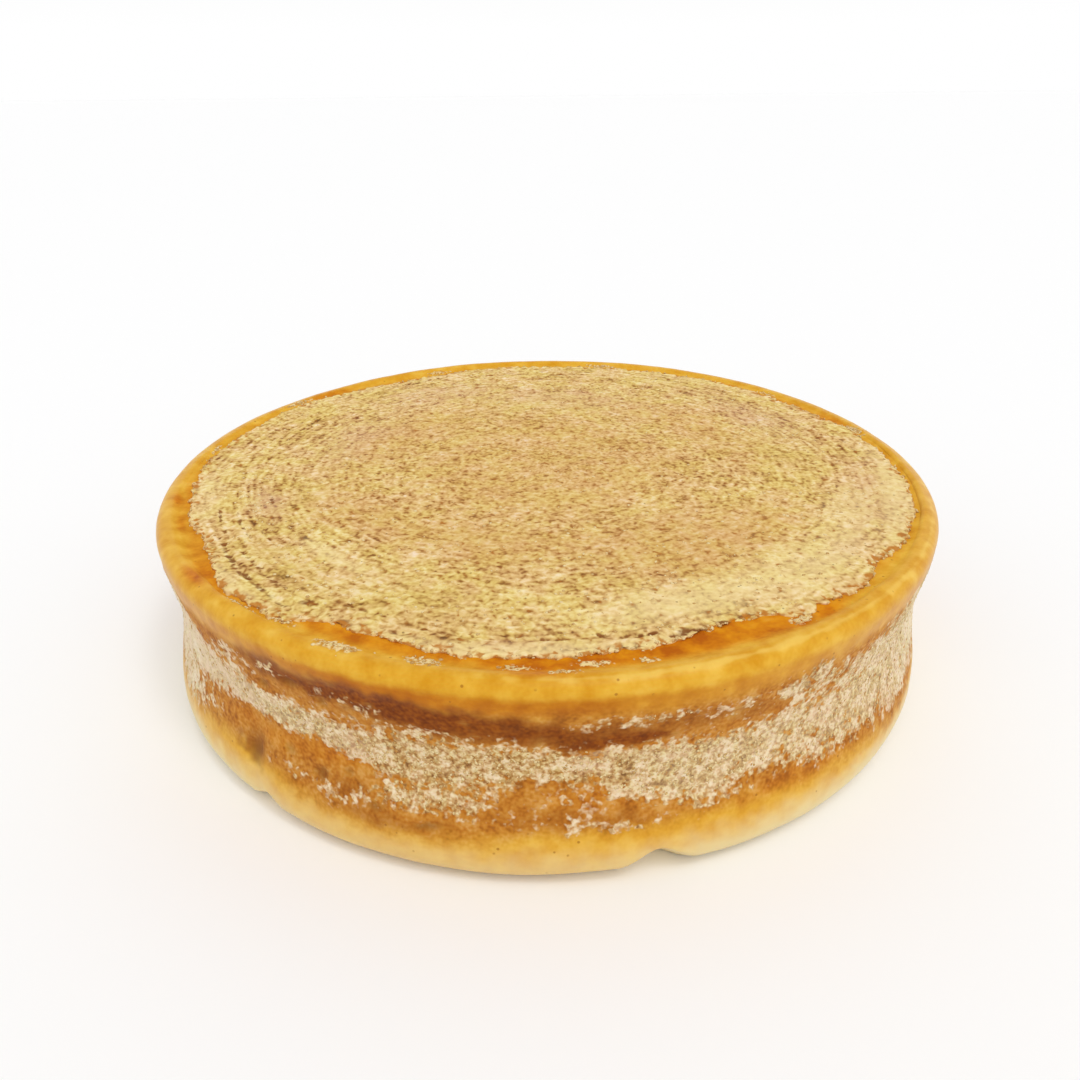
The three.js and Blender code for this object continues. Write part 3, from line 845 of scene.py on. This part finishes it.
# %% Rind material
def rind_material():
    """Waxy lips, a browned heel and a pale powdery bloom."""
    material, tree = new_tree("rind")
    place = add(tree, "TexCoord", {}).outputs["Object"]
    broad = grain(tree, place, 40.0, detail=2.0)
    middle = grain(tree, place, 9.0)
    lump = grain(tree, place, 6.5)
    fine = grain(tree, place, 3.0)
    flecks = grain(tree, place, 2.4)
    curl = grain(tree, place, 1.8, twist=0.3)
    speck = grain(tree, place, 1.5, detail=0.5)
    drawn = drawn_grain(tree, place, 14.0, 2.6, detail=1.0)
    level = weigh(tree, [(middle, 0.62), (fine, 0.14), (drawn, 0.14), (speck, 0.1)])
    shade = wax_colour(tree, level)
    shade = browned_colour(tree, shade, level, middle, fine, speck)
    shade = lip_marks(tree, place, shade, middle, drawn)

    bloomed = mask(tree, "bloom")
    spread = weigh(tree, [(bloomed, 1.6), (lump, 1.6), (flecks, 2.4)])
    cover = reckon(tree, "MULTIPLY", ramp(tree, spread, 2.5, 3.1), ramp(tree, bloomed, 0.0, 0.35))
    flaked = mask(tree, "flakes")
    flake = ramp(tree, weigh(tree, [(flaked, 0.8), (curl, 2.4), (lump, 1.0)]), 2.0, 2.6)
    flake = reckon(tree, "MULTIPLY", flake, ramp(tree, flaked, 0.1, 0.4))
    cover = reckon(tree, "MAXIMUM", cover, flake)
    shade = over(tree, shade, powder_colour(tree, curl, broad, lump), cover)
    shade = veil(tree, shade, colour(238, 210, 142), flake, 0.7)

    dullness = reckon(tree, "MAXIMUM", cover, mask(tree, "dull"))
    rough = add(tree, "MapRange", {"Value": dullness, "To Min": 0.32, "To Max": 0.9}).outputs[0]
    relief = weigh(tree, [(reckon(tree, "MULTIPLY", cover, curl), 1.0), (fine, 0.3), (level, 0.3)])
    bump = add(tree, "Bump", {"Height": relief, "Distance": 0.5 * MM, "Strength": 0.4}).outputs[0]
    finish_tree(tree, shade, rough, bump, {
        "Specular IOR Level": 0.1, "Subsurface Weight": 0.08, "Subsurface Radius": (1.0, 0.4, 0.1),
        "Subsurface Scale": 2.0 * MM, "Sheen Weight": 0.03,
    })
    return material


# %% [markdown]
# The crust is dry, so it hardly shines. Part of its noise is drawn out round the middle, as brushing leaves
# it. Soft light puts little shadow in small hollows, so grooves and holes are darkened too.

# %% Crust material
def crust_material():
    """A dry, brushed crust: cream and straw, with brown specks and pale grains."""
    material, tree = new_tree("crust")
    place = add(tree, "TexCoord", {}).outputs["Object"]
    curl = grain(tree, place, 3.2, twist=0.5)
    speck = grain(tree, place, 1.8, detail=0.5)
    drawn = drawn_grain(tree, place, 12.0, 2.3, detail=0.5)
    lump = grain(tree, place, 7.5)
    broad = grain(tree, place, 22.0)
    level = weigh(tree, [
        (curl, 0.38), (speck, 0.18), (drawn, 0.18), (lump, 0.13), (broad, 0.13), (mask(tree, "crumb"), 0.02),
        (mask(tree, "ring"), 0.03), (mask(tree, "arcs"), 0.13), (mask(tree, "worn"), -0.02),
    ])
    shade = stops(tree, level, [
        (0.34, 108, 66, 26), (0.405, 166, 119, 58), (0.46, 202, 163, 94), (0.52, 222, 190, 117),
        (0.6, 236, 212, 150), (0.7, 244, 228, 188),
    ])
    small_hue = grain(tree, place, 6.0)
    large_hue = grain(tree, place, 19.0)
    hue = weigh(tree, [(small_hue, 0.4), (large_hue, 0.6)])
    shade = tinted(tree, shade, ramp(tree, hue, 0.36, 0.64), (0.985, 0.995, 0.83), (1.02, 0.965, 1.13))
    for name, tint, share in (
        ("pink", colour(212, 166, 136), 0.5), ("straw", colour(218, 190, 104), 0.35),
        ("tan", colour(206, 150, 84), 0.45), ("pale", colour(243, 222, 162), 0.55),
    ):
        shade = veil(tree, shade, tint, mask(tree, name), share)
    # Partly the crust's own brown, partly painted shade in the grooves and in the hollows between the curls.
    gap = ramp(tree, weigh(tree, [(mask(tree, "groove"), 1.0), (curl, -1.8)]), -0.65, 0.0)
    shade = veil(tree, shade, colour(122, 66, 22), gap, 0.88)
    open_edge = weigh(tree, [(mask(tree, "lace"), 1.0), (mask(tree, "wall"), 0.35), (curl, -2.0)])
    hole = ramp(tree, open_edge, -0.75, -0.2)
    shade = veil(tree, shade, colour(190, 118, 36), hole, 0.85)
    spot = reckon(tree, "MULTIPLY", dots(tree, place, 5.0, 0.7), ramp(tree, lump, 0.45, 0.58))
    shade = veil(tree, shade, colour(104, 64, 26), spot, 0.6)
    relief = weigh(tree, [(curl, 0.5), (lump, 0.3), (drawn, 0.2)])
    bump = add(tree, "Bump", {"Height": relief, "Distance": 1.0 * MM, "Strength": 0.55}).outputs[0]
    finish_tree(tree, shade, 0.9, bump, {"Specular IOR Level": 0.2})
    return material


# %% Give the body and the crust their materials
UNDERSIDE_HEIGHT = 0.2
dry_crust = crust_material()
body.data.materials.append(rind_material())
body.data.materials.append(dry_crust)
crust.data.materials.append(dry_crust)
underside = read_vectors(body.data.polygons, "center")[:, 2] < UNDERSIDE_HEIGHT * MM
body.data.polygons.foreach_set("material_index", underside.astype(np.int32))
print("faces underneath:", int(underside.sum()))

# %% [markdown]
# Crumbs lie where the crust has broken up: all over it, along its ragged edge and in small islands on the
# waxy band. They also lie over the bloom, though fewer where it is whitest, which is partly painted sheen.
# One crumb is modelled and the rest are copies of it, turned and scaled at random with a fixed seed, in one
# mesh for the crust and one for the bloom. Each has only twenty faces, because there are thousands.

# %% Model one crumb
bpy.ops.object.select_all(action="DESELECT")
bpy.ops.mesh.primitive_ico_sphere_add(subdivisions=1, radius=1.0)
one_crumb = bpy.context.object
ball = np.array([tuple(vertex.co) for vertex in one_crumb.data.vertices])
CRUMB_POINTS = ball * (1.0 + 0.35 * cloud(ball, 0.9, layer=3.0))[:, None]
CRUMB_FACES = np.array([tuple(face.vertices) for face in one_crumb.data.polygons])
bpy.data.objects.remove(one_crumb)
SEED = 41
SCATTER = 0.8
draw = np.random.default_rng(SEED)


def surface_spots(piece, weights, count):
    """Random places on a piece, drawn by weight, with the normals there."""
    chosen = draw.choice(len(weights), size=count, p=weights / weights.sum())
    picked = read_vectors(piece.data.vertices, "normal")[chosen].astype(float)
    shift = draw.uniform(-SCATTER, SCATTER, (count, 3))
    shift -= (shift * picked).sum(axis=1)[:, None] * picked
    return places_of(piece)[chosen] + shift, picked


def crumbs(name, spots, normals, half_length, flatness):
    """Many crumbs in one mesh, the largest about half_length millimetres from middle to end."""
    count = len(spots)
    size = half_length * draw.uniform(0.35, 1.0, count) ** 1.5
    side = np.cross(normals, draw.normal(size=(count, 3)))
    side /= np.linalg.norm(side, axis=1)[:, None]
    wide = np.cross(normals, side)
    scales = np.stack([size, size * draw.uniform(0.45, 0.9, count), size * flatness], axis=1)
    frames = np.stack([side, wide, normals], axis=1) * scales[:, :, None]
    points = spots[:, None, :] + np.einsum("vk,nkc->nvc", CRUMB_POINTS, frames)
    faces = CRUMB_FACES[None, :, :] + (np.arange(count) * len(CRUMB_POINTS))[:, None, None]
    mesh = bpy.data.meshes.new(name)
    mesh.from_pydata((points.reshape(-1, 3) * MM).tolist(), [], faces.reshape(-1, 3).tolist())
    piece = bpy.data.objects.new(name, mesh)
    bpy.context.collection.objects.link(piece)
    mesh.shade_smooth()
    paint(piece, "tint", np.repeat(draw.random(count), len(CRUMB_POINTS)))
    print(name, "has", len(mesh.polygons), "triangles")
    return piece


# %% Scatter crumbs over the crust, along its edge and in islands on the band
ISLAND_COUNT = 500
EDGE_COUNT = 900
TOP_COUNT = 2500
EDGE_SPREAD = 1.6
INNER_RADIUS = 178.0

# The tests of height keep crumbs off the seat and the hidden part of the slab.
height = cylinder(places_of(body))[2]
island_weight = (flakes * (height > 93.0)) ** 1.5
island_spots, island_normals = surface_spots(body, island_weight, ISLAND_COUNT)
azimuth, radius, height = cylinder(places_of(crust))
from_edge = crust_edge(azimuth) + near_edge * ragged - radius
edge_weight = np.exp(-((from_edge / EDGE_SPREAD) ** 2)) * (height > 93.5)
edge_spots, edge_normals = surface_spots(crust, edge_weight, EDGE_COUNT)
top_weight = (height > 94.0) * (radius < INNER_RADIUS) * (0.2 + 0.8 * broken)
top_spots, top_normals = surface_spots(crust, top_weight, TOP_COUNT)
crust_crumbs = crumbs(
    "crust_crumbs",
    np.concatenate([island_spots, edge_spots, top_spots]),
    np.concatenate([island_normals, edge_normals, top_normals]),
    half_length=1.15, flatness=0.3,
)

# %% Scatter crumbs over the bloom
BLOOM_COUNT = 6000
height = cylinder(places_of(body))[2]
bloom_weight = np.clip(bloom - 0.45, 0.0, None) * (height > 20.0) * (height < 86.0) * (1.0 - 0.85 * chalk_and_sheen)
bloom_spots, bloom_normals = surface_spots(body, bloom_weight, BLOOM_COUNT)
bloom_crumbs = crumbs("bloom_crumbs", bloom_spots, bloom_normals, half_length=1.0, flatness=0.12)


# %% Crumb material
def crumb_material():
    """Dry crumbs from cream to light brown."""
    material, tree = new_tree("crumb")
    place = add(tree, "TexCoord", {}).outputs["Object"]
    fine = grain(tree, place, 0.9, detail=2.0)
    level = weigh(tree, [(mask(tree, "tint"), 0.7), (fine, 0.6)])
    shade = stops(tree, level, [(0.35, 192, 148, 86), (0.6, 218, 188, 130), (0.95, 234, 212, 160)])
    bump = add(tree, "Bump", {"Height": fine, "Distance": 0.4 * MM, "Strength": 0.7}).outputs[0]
    finish_tree(tree, shade, 0.9, bump, {"Specular IOR Level": 0.2})
    return material


dry_crumb = crumb_material()
for piece in (crust_crumbs, bloom_crumbs):
    piece.data.materials.append(dry_crumb)

for piece in (body, crust, crust_crumbs, bloom_crumbs):
    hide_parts("wheel")
    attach(piece, "root")

# %% [markdown]
# The camera stands where the photographer's did. Its height, tilt and lens were fitted to the wheel's
# outlines.

# %% Camera
CAMERA_PLACE = (-0.0036, -0.4408, 0.2798)
CAMERA_TILT = 27.712
CAMERA_ROLL = -0.573
LENS = 28.84

camera_data = bpy.data.cameras.new("camera")
camera_data.lens = LENS
camera_data.sensor_width = 36.0
camera = bpy.data.objects.new("camera", camera_data)
bpy.context.collection.objects.link(camera)
tilted = Matrix.Rotation(math.radians(90.0 - CAMERA_TILT), 4, "X")
rolled = Matrix.Rotation(math.radians(CAMERA_ROLL), 4, "Z")
camera.matrix_world = Matrix.Translation(CAMERA_PLACE) @ (tilted @ rolled)
bpy.context.scene.camera = camera
print("lens, millimetres:", LENS)

# %% [markdown]
# The photo is bright and nearly without shadow, as in a white tent. So the sky is white all round, brighter
# low down than overhead, and two lamps stand high in front on the right. The wide soft one makes the crumbs
# stand out, and the small, weaker one is there to give the waxy lip a little shine.

# %% Floor and light
bpy.ops.object.select_all(action="DESELECT")
bpy.ops.mesh.primitive_plane_add(size=60.0)
floor = bpy.context.object
floor.name = "floor"
floor_material, floor_tree = new_tree("floor")
finish_tree(floor_tree, (0.95, 0.95, 0.95, 1.0), 0.8, (0.0, 0.0, 0.0), {"Specular IOR Level": 0.1})
floor.data.materials.append(floor_material)


def distant_lamp(name, power, width, tilt, turn):
    """A far lamp that looks some degrees wide, tilted from overhead and turned from the front."""
    light = bpy.data.lights.new(name, "SUN")
    light.energy = power
    light.angle = math.radians(width)
    lamp = bpy.data.objects.new(name, light)
    bpy.context.collection.objects.link(lamp)
    lamp.rotation_euler = (math.radians(tilt), 0.0, math.radians(turn))


distant_lamp("soft key", power=0.85, width=40.0, tilt=28.0, turn=25.0)
distant_lamp("glint", power=0.2, width=9.0, tilt=28.0, turn=48.0)

world = bpy.data.worlds.new("studio")
bpy.context.scene.world = world
world.use_nodes = True
sky = world.node_tree
view = add(sky, "TexCoord", {}).outputs["Generated"]
up = add(sky, "SeparateXYZ", {"Vector": view}).outputs["Z"]
sky_inputs = {"Value": up, "From Min": 0.05, "From Max": 0.6, "To Min": 1.0, "To Max": 0.72}
background = sky.nodes["Background"]
plug(sky, background.inputs["Strength"], add(sky, "MapRange", sky_inputs).outputs[0])
plug(sky, background.inputs["Color"], (1.0, 1.0, 1.0, 1.0))
bpy.context.scene.view_settings.view_transform = "Standard"
